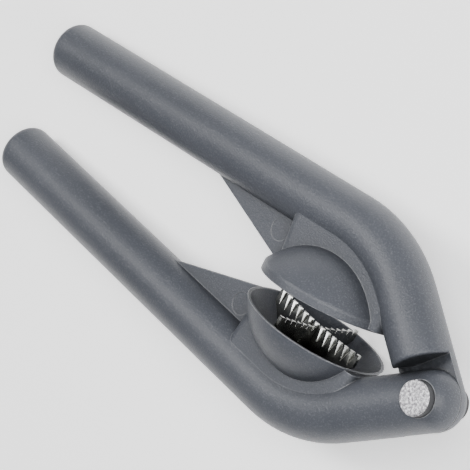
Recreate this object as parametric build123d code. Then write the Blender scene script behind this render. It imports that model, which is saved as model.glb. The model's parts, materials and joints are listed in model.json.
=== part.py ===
from build123d import *
import math
import os

# A one-hand garlic press lying on its side, in millimetres and degrees.
# It is drawn about its pivot: X runs from the grip ends to the pivot, Y points from the lower
# lever to the upper one and Z is the pivot axis. The whole press is then moved so that the
# origin is under the middle of its bounding box.

# Levers
TUBE_R = 9.0
ARM_ANGLE = 37.2  # between the arm and the line that halves the handles
ARM_LENGTH = 47.3  # pivot to the corner of arm and grip
GRIP_SLOPE = 3.8  # the grips close up towards their free ends
GRIP_LENGTH = 151.0  # corner to the free end
BEND_R = 40.0
END_FILLET = 3.2

# Cups: a spherical cap, with its rim plane tilted
CUP_X = -47.6
CUP_Y = 5.15
CUP_TILT = 3.2
RIM_R = 22.8
CUP_DEPTH = 15.4
UPPER_CUP_DEPTH = 14.7
LIP = 0.9
FLOOR = 2.2
BAND_HEIGHT = 2.6  # plain band round the upper cup's rim
BAND_FILLET = 1.5

# Neck and rib between lever and cup
NECK_END_X = -67.9
NECK_END_LEAN = 8.0
NECK_HINGE_X = -23.4
NECK_HALF = 7.7
NECK_EDGE = 3.4
NECK_ABOVE_RIM = 0.6
RIB_HALF = 1.1
RIB_FOOT_X = -104.5
RIB_FOOT_Y = 14.4
RIB_TOE_X = -70.4
RIB_TOE_Y = 4.2
RIB_MARK_X = -76.0  # round ejector mark
RIB_MARK_Y = 12.8
RIB_MARK_R = 3.5
RIB_MARK_DEPTH = 0.15

# Half-lap hinge and its two-part rivet
LAP_GAP = 0.3
EAR_CLEARANCE = 0.5
SHOULDER = 11.65  # pivot to the shoulder's face, along the arm
SHOULDER_TILT = 4.3
SHOULDER_FILLET = 0.8
CLOSING = 6.5  # closing travel that the shoulders leave room for
CLOSED_ARM_LENGTH = 32.0
PAST_HINGE = 16.0  # cuts reach this far from the middle plane, clear of the heads
HEAD_R = 5.15
HEAD_SEAT_Z = 7.0
HEAD_FACE_Z = 10.0
BACK_FACE_Z = 9.8
HEAD_CHAMFER = 0.35
SHANK_R = 3.0
RUNNING_GAP = 0.05
HEAD_GAP = 0.15
SPIGOT_R = 1.6
SPIGOT_LENGTH = 8.0

# Serrated blades, crossing in each cup
BLADE_THICK = 1.2
BLADE_HALF = 18.0
BLADE_SIDE = -1.0
BLADE_WAIST = 8.0
BLADE_WAIST_DEPTH = -11.0
BLADE_FOOT = 7.2
BLADE_FOOT_DEPTH = -13.6
BLADE_LAP_DEPTH = -6.0
TIP_RISE = 1.2  # the cutting edge is an arc, higher at its ends
TOOTH_PITCH = 2.65
FLUTE_LENGTH = 4.4
FLUTE_HALF_ANGLE = 37.0
FLUTE_COUNT = 13
BLADE_LAND = 2.0  # least depth of plate below the cutting edge, at its ends
PAST_BLADE = 3.0  # cutters reach this far outside the plate
SLOT_REACH = 40.0  # the half-lap slots are cut from far outside
LONG_TIP = 1.9  # lower blades stand above the rim plane
CROSS_TIP = 1.2
UPPER_LONG_TIP = -4.1  # upper blades stay inside their cup
UPPER_CROSS_TIP = -4.8


def polar(length, angle):
    return (length * math.cos(math.radians(angle)), length * math.sin(math.radians(angle)))


def prism(outline, low, high):
    """A straight-sided solid over a closed outline in the XY plane."""
    face = make_face(outline)
    return extrude(Pos(0, 0, low) * face, amount=high - low)


def lever_tube():
    """Round grip, bend and arm of the lower lever, with a ball end at the pivot."""
    corner_x, corner_y = polar(ARM_LENGTH, 180 + ARM_ANGLE)
    run_x, run_y = polar(GRIP_LENGTH, 180 - GRIP_SLOPE)
    end = (corner_x + run_x, corner_y + run_y)
    path = FilletPolyline(end, (corner_x, corner_y), (0, 0), radius=BEND_R)
    tube = sweep(Plane(origin=path @ 0, z_dir=path % 0) * Circle(TUBE_R), path=path)
    end_edge = tube.edges().filter_by(GeomType.CIRCLE).sort_by(Axis.X)[0]
    tube = fillet(end_edge, END_FILLET)
    return tube + Sphere(TUBE_R)


def rim_height(x):
    """How far the lower rim plane lies below the middle plane at x."""
    return CUP_Y + (x - CUP_X) * math.tan(math.radians(CUP_TILT))


def neck():
    """Flat-faced slab that joins the lever to its cup."""
    corner_x, corner_y = polar(ARM_LENGTH, 180 + ARM_ANGLE)
    grip_y = corner_y - (NECK_END_X - corner_x) * math.tan(math.radians(GRIP_SLOPE))
    arm_y = NECK_HINGE_X * math.tan(math.radians(ARM_ANGLE))
    low_y = -rim_height(NECK_END_X) - NECK_ABOVE_RIM
    outline = Polyline(
        (NECK_END_X, low_y),
        (NECK_END_X + (grip_y - low_y) * math.tan(math.radians(NECK_END_LEAN)), grip_y),
        (corner_x, corner_y),
        (NECK_HINGE_X, arm_y),
        (NECK_HINGE_X, -rim_height(NECK_HINGE_X) - NECK_ABOVE_RIM),
        close=True,
    )
    slab = prism(outline, -NECK_HALF, NECK_HALF)
    long_edges = slab.edges().filter_by(lambda edge: abs(edge.tangent_at(0.5).Y) > 0.9)
    return fillet(long_edges, NECK_EDGE)


def rib():
    """Thin triangular web between grip and cup, with an ejector mark on its front."""
    slope = (RIB_TOE_Y - RIB_FOOT_Y) / (RIB_TOE_X - RIB_FOOT_X)
    start_x = RIB_FOOT_X - TUBE_R
    inner_x = NECK_END_X + NECK_EDGE
    outline = Polyline(
        (start_x, -RIB_FOOT_Y + slope * TUBE_R),
        (RIB_TOE_X, -RIB_TOE_Y),
        (RIB_TOE_X + LIP / 2, -RIB_TOE_Y),
        (inner_x, -RIB_FOOT_Y),
        (inner_x, -RIB_FOOT_Y - TUBE_R),
        (start_x, -RIB_FOOT_Y - TUBE_R / 2),
        close=True,
    )
    mark = Pos(RIB_MARK_X, -RIB_MARK_Y, RIB_HALF) * Cylinder(RIB_MARK_R, 2 * RIB_MARK_DEPTH)
    return prism(outline, -RIB_HALF, RIB_HALF) - mark


def cup_place():
    """Frame of the lower cup: origin in the rim plane, Z out of the mouth."""
    tilt = math.radians(CUP_TILT)
    return Plane(
        origin=(CUP_X, -CUP_Y, 0),
        x_dir=(math.cos(tilt), -math.sin(tilt), 0),
        z_dir=(math.sin(tilt), math.cos(tilt), 0),
    )


def cap(radius, depth):
    """Solid spherical cap below the rim plane."""
    ball_r = (radius**2 + depth**2) / (2 * depth)
    ball = Pos(0, 0, ball_r - depth) * Sphere(ball_r)
    return ball & Pos(0, 0, -depth) * Box(4 * radius, 4 * radius, 2 * depth)


def banded_cup():
    """Outside of the upper cup: a cap on a band that stands square to the rim plane."""
    band = Pos(0, 0, -BAND_HEIGHT / 2) * Cylinder(RIM_R, BAND_HEIGHT)
    dome = band + Pos(0, 0, -BAND_HEIGHT) * cap(RIM_R, UPPER_CUP_DEPTH - BAND_HEIGHT)
    corner = dome.edges().filter_by(GeomType.CIRCLE).sort_by(Axis.Z)[-2]
    return fillet(corner, BAND_FILLET)


def ear_cut(arm, turn, low, high):
    """Room for the other lever's ear, and for its arm when the press is closed.

    arm is the direction of this lever's own arm, and turn is 1 where the other arm
    lies counter-clockwise from it, or -1.
    """
    room_r = TUBE_R + EAR_CLEARANCE
    height = high - low
    middle = (low + high) / 2
    room = Pos(0, 0, middle) * Cylinder(room_r, height)
    length = SHOULDER + 2 * TUBE_R
    block = Pos(-length / 2, 0, middle) * Box(length, 4 * TUBE_R, height)
    room += Rot(Z=arm) * Pos(SHOULDER, 0, 0) * Rot(Z=-turn * SHOULDER_TILT) * block
    other_arm = Rot(Y=90) * Pos(0, 0, CLOSED_ARM_LENGTH / 2) * Cylinder(room_r, CLOSED_ARM_LENGTH)
    other_arm &= Pos(0, 0, middle) * Box(4 * CLOSED_ARM_LENGTH, 4 * TUBE_R, height)
    return room + Rot(Z=arm + turn * (2 * ARM_ANGLE - CLOSING)) * other_arm


def soften_shoulder(body):
    """Round the edge where the shoulder's face meets the outside of the arm."""
    edge = body.edges().filter_by(GeomType.ELLIPSE).sort_by(SortBy.LENGTH)[-1]
    return fillet(edge, SHOULDER_FILLET)


def lever_blank(cup, depth):
    """Lever before its hinge is cut, in the lower lever's place, round a cup of this depth."""
    place = cup_place()
    blank = lever_tube() + neck() + rib() + place * cup
    return blank - place * cap(RIM_R - LIP, depth - FLOOR)


def lower_lever(blades):
    """Front ear, with the rivet's head let into it."""
    body = lever_blank(cap(RIM_R, CUP_DEPTH), CUP_DEPTH)
    body -= ear_cut(180 + ARM_ANGLE, -1, -PAST_HINGE, LAP_GAP / 2)
    body = soften_shoulder(body) - Cylinder(SHANK_R, 2 * PAST_HINGE)
    body -= Pos(0, 0, HEAD_SEAT_Z + PAST_HINGE / 2) * Cylinder(HEAD_R + HEAD_GAP, PAST_HINGE)
    for blade in blades:
        body -= blade
    return body


def upper_lever(blades):
    """Back ear, which turns on the rivet's shank."""
    body = mirror(lever_blank(banded_cup(), UPPER_CUP_DEPTH), about=Plane.XZ)
    body -= ear_cut(180 - ARM_ANGLE, 1, -LAP_GAP / 2, PAST_HINGE)
    body = soften_shoulder(body) - Cylinder(SHANK_R + RUNNING_GAP, 2 * PAST_HINGE)
    seat = HEAD_SEAT_Z - HEAD_GAP
    body -= Pos(0, 0, -seat - PAST_HINGE / 2) * Cylinder(HEAD_R + 2 * HEAD_GAP, PAST_HINGE)
    for blade in blades:
        body -= blade
    return body


def rivet_head(face_z):
    """Flat disc head, from its seat to its face."""
    height = face_z - HEAD_SEAT_Z
    head = Pos(0, 0, HEAD_SEAT_Z + height / 2) * Cylinder(HEAD_R, height)
    return chamfer(head.edges().sort_by(Axis.Z)[-1], HEAD_CHAMFER)


def hinge_rivet_front():
    """Head and tubular shank, held in the lower lever."""
    shank = Cylinder(SHANK_R, 2 * HEAD_SEAT_Z)
    bore = Pos(0, 0, -HEAD_SEAT_Z + SPIGOT_LENGTH / 2) * Cylinder(SPIGOT_R, SPIGOT_LENGTH)
    return rivet_head(HEAD_FACE_Z) + shank - bore


def hinge_rivet_back():
    """Back head with the spigot that is pressed into the shank."""
    head = mirror(rivet_head(BACK_FACE_Z), about=Plane.XY)
    spigot = Pos(0, 0, -HEAD_SEAT_Z + SPIGOT_LENGTH / 2) * Cylinder(SPIGOT_R, SPIGOT_LENGTH)
    return head + spigot


def blade_plate(tip):
    """Blank of one blade in the XZ plane, its cutting edge an arc."""
    tip_end = tip + TIP_RISE
    edge = ThreePointArc((-BLADE_HALF, tip_end), (0, tip), (BLADE_HALF, tip_end))
    side = min(BLADE_SIDE, tip - BLADE_LAND)
    sides = Polyline(
        (BLADE_HALF, tip_end),
        (BLADE_HALF, side),
        (BLADE_WAIST, BLADE_WAIST_DEPTH),
        (BLADE_FOOT, BLADE_FOOT_DEPTH),
        (-BLADE_FOOT, BLADE_FOOT_DEPTH),
        (-BLADE_WAIST, BLADE_WAIST_DEPTH),
        (-BLADE_HALF, side),
        (-BLADE_HALF, tip_end),
    )
    plate = extrude(make_face(edge + sides), amount=BLADE_THICK / 2, both=True)
    return Rot(X=90) * plate


def flutes(tip):
    """Tapering V grooves, ground into the plate's -Y face down from its cutting edge."""
    half = math.tan(math.radians(FLUTE_HALF_ANGLE))
    depth = TOOTH_PITCH / 2 / half
    lean = math.degrees(math.atan2(depth, FLUTE_LENGTH))
    mouth = PAST_BLADE * half
    groove = make_face(Polyline((0, 0), (-mouth, -PAST_BLADE), (mouth, -PAST_BLADE), close=True))
    groove = Rot(X=-lean) * extrude(groove, amount=3 * FLUTE_LENGTH)
    arc_r = (BLADE_HALF**2 + TIP_RISE**2) / (2 * TIP_RISE)
    cutters = []
    for index in range(FLUTE_COUNT):
        across = (index - (FLUTE_COUNT - 1) / 2) * TOOTH_PITCH
        top = tip + arc_r - math.sqrt(arc_r**2 - across**2)
        cutters.append(Pos(across, -BLADE_THICK / 2, top - FLUTE_LENGTH) * groove)
    return cutters


def blade_pair(long_tip, cross_tip):
    """Long blade along X and cross blade along Y, half-lapped, in the cup's frame."""
    long_blade = blade_plate(long_tip)
    for groove in flutes(long_tip):
        long_blade -= groove
    cross_blade = blade_plate(cross_tip)
    for groove in flutes(cross_tip):
        cross_blade -= groove
    cross_blade = Rot(Z=-90) * cross_blade
    below = Pos(0, 0, BLADE_LAP_DEPTH - SLOT_REACH / 2) * Box(BLADE_THICK, 2 * BLADE_THICK, SLOT_REACH)
    above = Pos(0, 0, BLADE_LAP_DEPTH + SLOT_REACH / 2) * Box(2 * BLADE_THICK, BLADE_THICK, SLOT_REACH)
    return long_blade - below, cross_blade - above


def build_press():
    place = cup_place()
    lower_long, lower_cross = [place * blade for blade in blade_pair(LONG_TIP, CROSS_TIP)]
    raised = place * Pos(0, 0, CUP_DEPTH - UPPER_CUP_DEPTH)
    upper_pair = [raised * blade for blade in blade_pair(UPPER_LONG_TIP, UPPER_CROSS_TIP)]
    upper_long, upper_cross = [mirror(blade, about=Plane.XZ) for blade in upper_pair]
    return {
        "lower_lever": lower_lever((lower_long, lower_cross)),
        "upper_lever": upper_lever((upper_long, upper_cross)),
        "hinge_rivet_front": hinge_rivet_front(),
        "hinge_rivet_back": hinge_rivet_back(),
        "lower_long_blade": lower_long,
        "lower_cross_blade": lower_cross,
        "upper_long_blade": upper_long,
        "upper_cross_blade": upper_cross,
    }


def main():
    os.makedirs("parts", exist_ok=True)
    press = build_press()
    boxes = [shape.bounding_box() for shape in press.values()]
    low = [min(tuple(box.min)[axis] for box in boxes) for axis in range(3)]
    high = [max(tuple(box.max)[axis] for box in boxes) for axis in range(3)]
    shift = Pos(-(low[0] + high[0]) / 2, -(low[1] + high[1]) / 2, -low[2])
    print("pivot in the part frame", shift.position)
    for name, shape in press.items():
        export_step(shift * shape, f"parts/{name}.step")


main()
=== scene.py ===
import json
import math

import bpy
from mathutils import Matrix, Vector


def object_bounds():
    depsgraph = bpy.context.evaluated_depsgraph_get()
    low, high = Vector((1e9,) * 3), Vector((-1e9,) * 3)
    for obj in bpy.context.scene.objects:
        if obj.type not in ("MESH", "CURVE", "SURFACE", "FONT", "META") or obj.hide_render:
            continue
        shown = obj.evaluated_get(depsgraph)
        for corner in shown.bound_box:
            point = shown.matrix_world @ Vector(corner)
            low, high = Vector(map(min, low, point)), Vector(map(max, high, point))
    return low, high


# Sizes are in metres and colours in linear light.

# Camera, placed from the hinge. The axis's length is the angle turned, in radians.
CAMERA_FROM_PIVOT = Vector((0.3611, 0.1646, 0.5522))
CAMERA_AXIS = Vector((-0.046, 0.7237, 0.5368))
CAMERA_LENS = 186.3
CAMERA_SENSOR = 36.0

# The press lies on its cups' rims and its grip ends, so the table slopes in the press's frame.
# Places along the press are counted from the hinge.
GRIP_RADIUS = 0.009
CUP_RIM_RADIUS = 0.0228
CUP_FROM_PIVOT = -0.0476
GRIP_REST_FROM_PIVOT = -0.185
TABLE_SIZE = 6.0
TABLE_CUTS = 8
TABLE_GAP = 0.0001
TABLE_DARK = (0.93, 0.93, 0.93)
TABLE_LIGHT = (0.96, 0.96, 0.96)
TABLE_MOTTLE = 0.02
TABLE_ROUGHNESS = 0.9
TABLE_SPECULAR = 0.1
TABLE_GLOW = 0.7  # a lit sweep, so that it reads as white

# Square lights: metres right of, above and towards the camera from the press's middle, then
# the light's width and its power in watts. The low card is there for the flutes of the blades.
LIGHTS = {
    "key": ((-0.74, 0.40, 0.46), 0.3, 7.5),
    "fill": ((-0.03, 0.06, 1.0), 0.6, 12.0),
    "low_card": ((0.32, -0.20, 0.59), 0.22, 1.0),
}
SKY_COLOR = (0.96, 0.98, 1.0, 1)
SKY_STRENGTH = 0.15

# A grain is the size of one patch of noise, and a bump is its depth and its strength. Four
# numbers are the two ends of a range of values, then the two values they are turned into.
NORMAL_SAMPLES = 6
RECESS_SAMPLES = 8
# EDGE_RANGE turns the rounded normals into the mask of paler edges, which carry painted highlight.
EDGE_RANGE = (0.98, 0.82, 0, 1)
# RECESS_RANGE turns ambient occlusion into the mask of painted shade.
RECESS_RANGE = (0.35, 0.95, 1, 0)

MOULDED_DARK = (0.050, 0.054, 0.065)
MOULDED_LIGHT = (0.070, 0.075, 0.089)
MOULDED_FLECK = (0.24, 0.25, 0.275)
# Pale edge colour of the moulded body: partly wear, partly painted highlight along the edges.
MOULDED_EDGE_WEAR_AND_HIGHLIGHT = (0.52, 0.53, 0.55)
# Near-black colour painted in as shade in the recesses of the moulded body.
MOULDED_PAINTED_SHADE = (0.010, 0.011, 0.012)
MOULDED_SPECULAR = 0.42
MOULDED_IOR = 1.53
MOULDED_EDGE_WIDTH = 0.0005
# Reach of the painted shade in the moulded body's recesses.
MOULDED_RECESS = 0.009
PIT_GRAIN = 0.0005
PIT_FLECKS = (0.52, 0.78, 0, 0.35)
PIT_ROUGHNESS = (0.3, 0.7, -0.05, 0.06)
PIT_BUMP = (0.00017, 0.8)
PATCH_GRAIN = 0.0016
# Patchy strength of the pale edges, partly wear and partly painted highlight.
PATCH_EDGE_WEAR_AND_HIGHLIGHT = (0.35, 0.7, 0.3, 0.85)
# Patchy strength of the painted shade in recesses.
PATCH_PAINTED_SHADE = (0.3, 0.7, 0.65, 0.95)
PATCH_BUMP = (0.00006, 0.5)
FLOW_GRAIN = 0.03
FLOW_STRETCH = (0.35, 1, 1)
FLOW_TONE = (0.3, 0.7, 0, 1)
FLOW_ROUGHNESS = (0.3, 0.7, 0.37, 0.44)

RIVET_DARK = (0.20, 0.19, 0.21)
RIVET_BRIGHT = (0.98, 0.97, 0.99)
RIVET_BLOTCH = (0.62, 0.61, 0.64)
# Near-black colour of the rivet head's side: painted shade.
RIVET_SIDE_PAINTED_SHADE = (0.022, 0.022, 0.025)
RIVET_EDGE_WIDTH = 0.0002
SPECKLE_GRAIN = 0.0008
SPECKLE_TONE = (0.44, 0.58, 0, 1)
SPECKLE_ROUGHNESS = (0.3, 0.7, 0.42, 0.62)
SPECKLE_BUMP = (0.00012, 0.7)
BLOTCH_GRAIN = 0.0024
BLOTCH_AMOUNT = (0.35, 0.7, 0, 0.25)
# SIDE_RANGE masks the painted shade on the head's side; SIDE_METALLIC makes that side not metallic.
SIDE_RANGE = (0.35, 0.6, 1, 0)
SIDE_METALLIC = (0, 1, 0.95, 0)

BLADE_BRIGHT = (0.76, 0.77, 0.75)
BLADE_STAIN = (0.44, 0.45, 0.42)
BLADE_LINE = (0.30, 0.31, 0.29)
# Paler colour along the blades' edges: painted highlight.
BLADE_EDGE_HIGHLIGHT = (0.82, 0.82, 0.80)
# Dark colour painted in as shade deep between the blades.
BLADE_PAINTED_SHADE = (0.10, 0.10, 0.09)
BLADE_EDGE_WIDTH = 0.00006
# Reach of the painted shade on the blades.
BLADE_RECESS = 0.012
LINE_GRAIN = 0.00022
LINE_STRETCH = (1, 0.12, 1)
LINE_AMOUNT = (0.3, 0.7, 0, 0.2)
LINE_BUMP = (0.00001, 0.2)
STAIN_GRAIN = 0.003
STAIN_AMOUNT = (0.4, 0.7, 0, 1)
STAIN_ROUGHNESS = (0.3, 0.7, 0.12, 0.28)

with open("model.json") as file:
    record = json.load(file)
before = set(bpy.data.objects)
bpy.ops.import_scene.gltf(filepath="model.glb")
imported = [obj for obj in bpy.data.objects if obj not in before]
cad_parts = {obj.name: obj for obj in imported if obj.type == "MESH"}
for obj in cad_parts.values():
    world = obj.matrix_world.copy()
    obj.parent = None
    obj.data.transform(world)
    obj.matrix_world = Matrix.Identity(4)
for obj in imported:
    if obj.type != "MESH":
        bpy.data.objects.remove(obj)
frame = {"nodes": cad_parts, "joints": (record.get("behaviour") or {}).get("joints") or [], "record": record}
CAD_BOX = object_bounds()
PIVOT = Vector(frame["joints"][0]["pos_m"])


def new_material(name):
    """Node material with only its shader and output, already joined."""
    material = bpy.data.materials.new(name)
    material.use_nodes = True
    tree = material.node_tree
    tree.nodes.clear()
    shader = tree.nodes.new("ShaderNodeBsdfPrincipled")
    output = tree.nodes.new("ShaderNodeOutputMaterial")
    tree.links.new(shader.outputs["BSDF"], output.inputs["Surface"])
    return material, tree, shader


def object_coordinates(tree, stretch=(1, 1, 1)):
    """The piece's own coordinates. A grain is drawn out along an axis scaled below 1."""
    coordinates = tree.nodes.new("ShaderNodeTexCoord")
    mapping = tree.nodes.new("ShaderNodeMapping")
    mapping.inputs["Scale"].default_value = stretch
    tree.links.new(coordinates.outputs["Object"], mapping.inputs["Vector"])
    return mapping.outputs["Vector"]


def noise(tree, vector, grain, detail=2.0, roughness=0.5):
    """Soft noise between 0 and 1, in patches of the grain's size."""
    node = tree.nodes.new("ShaderNodeTexNoise")
    node.inputs["Scale"].default_value = 1 / grain
    node.inputs["Detail"].default_value = detail
    node.inputs["Roughness"].default_value = roughness
    tree.links.new(vector, node.inputs["Vector"])
    return node.outputs["Fac"]


def remap(tree, value, limits):
    """Turn the range between the first two limits into the range between the last two."""
    node = tree.nodes.new("ShaderNodeMapRange")
    for socket, limit in zip(("From Min", "From Max", "To Min", "To Max"), limits):
        node.inputs[socket].default_value = limit
    tree.links.new(value, node.inputs["Value"])
    return node.outputs["Result"]


def mix_colors(tree, factor, low, high):
    """Blend from low to high by factor. Each may be a colour or another node's output."""
    node = tree.nodes.new("ShaderNodeMix")
    node.data_type = "RGBA"
    tree.links.new(factor, node.inputs[0])
    for socket, color in ((node.inputs[6], low), (node.inputs[7], high)):
        if isinstance(color, tuple):
            socket.default_value = (*color, 1)
        else:
            tree.links.new(color, socket)
    return node.outputs[2]


def math_node(tree, operation, *values):
    """One step of arithmetic on other nodes' outputs."""
    node = tree.nodes.new("ShaderNodeMath")
    node.operation = operation
    for socket, value in zip(node.inputs, values):
        tree.links.new(value, socket)
    return node.outputs["Value"]


def rounded_normal(tree, width):
    """Normals that turn smoothly over the edges."""
    bevel = tree.nodes.new("ShaderNodeBevel")
    bevel.samples = NORMAL_SAMPLES
    bevel.inputs["Radius"].default_value = width
    return bevel.outputs["Normal"]


def near_edge(tree, rounded):
    """1 at an edge, falling to 0 where the rounded normal is the surface's own."""
    geometry = tree.nodes.new("ShaderNodeNewGeometry")
    dot = tree.nodes.new("ShaderNodeVectorMath")
    dot.operation = "DOT_PRODUCT"
    tree.links.new(rounded, dot.inputs[0])
    tree.links.new(geometry.outputs["Normal"], dot.inputs[1])
    return remap(tree, dot.outputs["Value"], EDGE_RANGE)


def bump(tree, height, depth_and_strength, normal):
    """Normals tilted as if the height, from 0 to 1, stood out of the surface."""
    node = tree.nodes.new("ShaderNodeBump")
    depth, strength = depth_and_strength
    node.inputs["Distance"].default_value = depth
    node.inputs["Strength"].default_value = strength
    tree.links.new(height, node.inputs["Height"])
    tree.links.new(normal, node.inputs["Normal"])
    return node.outputs["Normal"]


def recesses(tree, reach):
    """1 deep in corners and cups, falling to 0 on open surfaces. It sets where shade is painted into
    colours.
    """
    node = tree.nodes.new("ShaderNodeAmbientOcclusion")
    node.samples = RECESS_SAMPLES
    node.inputs["Distance"].default_value = reach
    return remap(tree, node.outputs["AO"], RECESS_RANGE)


def moulded_material():
    """Dark blue-grey nylon from a spark-eroded mould: fine pits, flow marks, paler edges that are partly
    wear and partly painted highlight, and painted shade in its recesses.
    """
    material, tree, shader = new_material("moulded_nylon")
    vector = object_coordinates(tree)
    pits = noise(tree, vector, PIT_GRAIN, detail=3.0, roughness=0.65)
    patches = noise(tree, vector, PATCH_GRAIN)
    flow = noise(tree, object_coordinates(tree, FLOW_STRETCH), FLOW_GRAIN, detail=3.0)
    normal = rounded_normal(tree, MOULDED_EDGE_WIDTH)

    color = mix_colors(tree, remap(tree, flow, FLOW_TONE), MOULDED_DARK, MOULDED_LIGHT)
    color = mix_colors(tree, remap(tree, pits, PIT_FLECKS), color, MOULDED_FLECK)
    # Paler edges, in patches: partly wear, partly a painted highlight along the edges.
    edge = near_edge(tree, normal)
    edge_wear_and_highlight = math_node(tree, "MULTIPLY", edge, remap(tree, patches, PATCH_EDGE_WEAR_AND_HIGHLIGHT))
    color = mix_colors(tree, edge_wear_and_highlight, color, MOULDED_EDGE_WEAR_AND_HIGHLIGHT)
    # Painted shade: the colour darkens towards near black where ambient occlusion finds corners and
    # recesses.
    deep = recesses(tree, MOULDED_RECESS)
    painted_shade = math_node(tree, "MULTIPLY", deep, remap(tree, patches, PATCH_PAINTED_SHADE))
    color = mix_colors(tree, painted_shade, color, MOULDED_PAINTED_SHADE)
    tree.links.new(color, shader.inputs["Base Color"])

    flow_rough = remap(tree, flow, FLOW_ROUGHNESS)
    rough = math_node(tree, "ADD", flow_rough, remap(tree, pits, PIT_ROUGHNESS))
    tree.links.new(rough, shader.inputs["Roughness"])
    shader.inputs["Specular IOR Level"].default_value = MOULDED_SPECULAR
    shader.inputs["IOR"].default_value = MOULDED_IOR

    soft = bump(tree, patches, PATCH_BUMP, normal)
    tree.links.new(bump(tree, pits, PIT_BUMP, soft), shader.inputs["Normal"])
    return material


def head_side(tree):
    """1 on the side of the rivet's head, falling to 0 on its flat face."""
    geometry = tree.nodes.new("ShaderNodeNewGeometry")
    parts = tree.nodes.new("ShaderNodeSeparateXYZ")
    tree.links.new(geometry.outputs["Normal"], parts.inputs["Vector"])
    return remap(tree, math_node(tree, "ABSOLUTE", parts.outputs["Z"]), SIDE_RANGE)


def rivet_material():
    """Sand-blasted aluminium: coarse bright speckle on the face; the side of the head is painted shade, near
    black and not metallic.
    """
    material, tree, shader = new_material("blasted_aluminium")
    vector = object_coordinates(tree)
    speckle = noise(tree, vector, SPECKLE_GRAIN, detail=4.0, roughness=0.75)
    blotch = noise(tree, vector, BLOTCH_GRAIN)
    normal = rounded_normal(tree, RIVET_EDGE_WIDTH)
    side = head_side(tree)

    color = mix_colors(tree, remap(tree, speckle, SPECKLE_TONE), RIVET_DARK, RIVET_BRIGHT)
    color = mix_colors(tree, remap(tree, blotch, BLOTCH_AMOUNT), color, RIVET_BLOTCH)
    # Painted shade on the head's side: near black, and not metallic below.
    color = mix_colors(tree, side, color, RIVET_SIDE_PAINTED_SHADE)
    tree.links.new(color, shader.inputs["Base Color"])
    tree.links.new(remap(tree, side, SIDE_METALLIC), shader.inputs["Metallic"])
    tree.links.new(remap(tree, speckle, SPECKLE_ROUGHNESS), shader.inputs["Roughness"])
    tree.links.new(bump(tree, speckle, SPECKLE_BUMP, normal), shader.inputs["Normal"])
    return material


def blade_material():
    """Stainless sheet with bright ground flutes, faint grinding lines and a little staining, paler edges as
    painted highlight and painted shade deep in the cup.
    """
    material, tree, shader = new_material("stainless_blade")
    stretched = object_coordinates(tree, LINE_STRETCH)
    lines = noise(tree, stretched, LINE_GRAIN, detail=3.0, roughness=0.6)
    stain = noise(tree, object_coordinates(tree), STAIN_GRAIN, detail=4.0, roughness=0.6)
    normal = rounded_normal(tree, BLADE_EDGE_WIDTH)

    color = mix_colors(tree, remap(tree, stain, STAIN_AMOUNT), BLADE_BRIGHT, BLADE_STAIN)
    color = mix_colors(tree, remap(tree, lines, LINE_AMOUNT), color, BLADE_LINE)
    # Painted highlight along the blades' edges.
    color = mix_colors(tree, near_edge(tree, normal), color, BLADE_EDGE_HIGHLIGHT)
    # Painted shade: the blades darken where ambient occlusion finds recesses.
    color = mix_colors(tree, recesses(tree, BLADE_RECESS), color, BLADE_PAINTED_SHADE)
    tree.links.new(color, shader.inputs["Base Color"])
    shader.inputs["Metallic"].default_value = 1.0
    tree.links.new(remap(tree, stain, STAIN_ROUGHNESS), shader.inputs["Roughness"])
    tree.links.new(bump(tree, lines, LINE_BUMP, normal), shader.inputs["Normal"])
    return material


def table_material():
    """Matt white card with a barely visible mottle."""
    material, tree, shader = new_material("white_card")
    mottle = noise(tree, object_coordinates(tree), TABLE_MOTTLE, detail=4.0)
    tree.links.new(mix_colors(tree, mottle, TABLE_DARK, TABLE_LIGHT), shader.inputs["Base Color"])
    shader.inputs["Roughness"].default_value = TABLE_ROUGHNESS
    shader.inputs["Specular IOR Level"].default_value = TABLE_SPECULAR
    shader.inputs["Emission Color"].default_value = (1, 1, 1, 1)
    shader.inputs["Emission Strength"].default_value = TABLE_GLOW
    return material


def finish_nodes():
    """Give every CAD node the material of its slot in the record."""
    materials = {
        "moulded_body": moulded_material(),
        "rivet": rivet_material(),
        "blade": blade_material(),
    }
    for part in frame["record"]["subparts"]:
        mesh = frame["nodes"][part["node"]].data
        mesh.materials.clear()
        mesh.materials.append(materials[part["material_slot"]])


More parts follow.
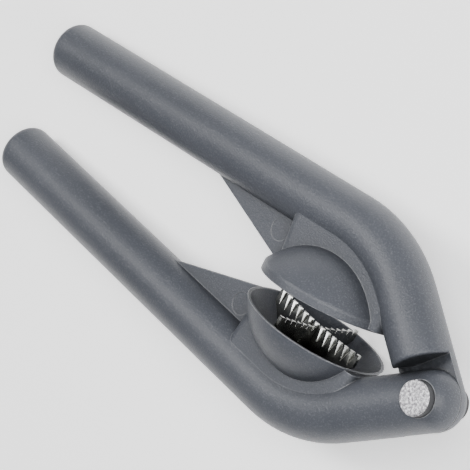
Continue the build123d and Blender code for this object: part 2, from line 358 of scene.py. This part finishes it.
def make_camera():
    """Long lens at the photograph's viewing angle."""
    data = bpy.data.cameras.new("camera")
    data.lens = CAMERA_LENS
    data.sensor_width = CAMERA_SENSOR
    camera = bpy.data.objects.new("camera", data)
    turn = Matrix.Rotation(CAMERA_AXIS.length, 4, CAMERA_AXIS.normalized())
    camera.matrix_world = Matrix.Translation(PIVOT + CAMERA_FROM_PIVOT) @ turn
    bpy.context.scene.collection.objects.link(camera)
    bpy.context.scene.camera = camera
    return camera


def make_table():
    """A large table that the cups' rims and the grip ends touch."""
    span = CUP_FROM_PIVOT - GRIP_REST_FROM_PIVOT
    slope = math.asin((CUP_RIM_RADIUS - GRIP_RADIUS) / span)
    bpy.ops.mesh.primitive_grid_add(
        x_subdivisions=TABLE_CUTS, y_subdivisions=TABLE_CUTS, size=TABLE_SIZE
    )
    table = bpy.context.object
    table.name = "table"
    touch_x = CUP_FROM_PIVOT - CUP_RIM_RADIUS * math.sin(slope)
    touch_z = -CUP_RIM_RADIUS * math.cos(slope)
    table.location = PIVOT + Vector((touch_x, 0, touch_z - TABLE_GAP))
    table.rotation_euler = (0, slope, 0)
    table.data.materials.append(table_material())


def soft_light(name, camera, place, size, power):
    """Square light aimed at the press's middle, placed from there in the camera's directions."""
    aim = (CAD_BOX[0] + CAD_BOX[1]) / 2
    data = bpy.data.lights.new(name, "AREA")
    data.energy = power
    data.size = size
    light = bpy.data.objects.new(name, data)
    light.location = aim + camera.matrix_world.to_3x3() @ Vector(place)
    light.rotation_euler = (aim - light.location).to_track_quat("-Z", "Y").to_euler()
    bpy.context.scene.collection.objects.link(light)


def make_lights(camera):
    """The soft lights, under a faint cool sky."""
    for name, (place, size, power) in LIGHTS.items():
        soft_light(name, camera, place, size, power)
    world = bpy.data.worlds.new("studio")
    bpy.context.scene.world = world
    world.use_nodes = True
    background = world.node_tree.nodes["Background"]
    background.inputs["Color"].default_value = SKY_COLOR
    background.inputs["Strength"].default_value = SKY_STRENGTH


studio_camera = make_camera()
finish_nodes()
make_table()
make_lights(studio_camera)
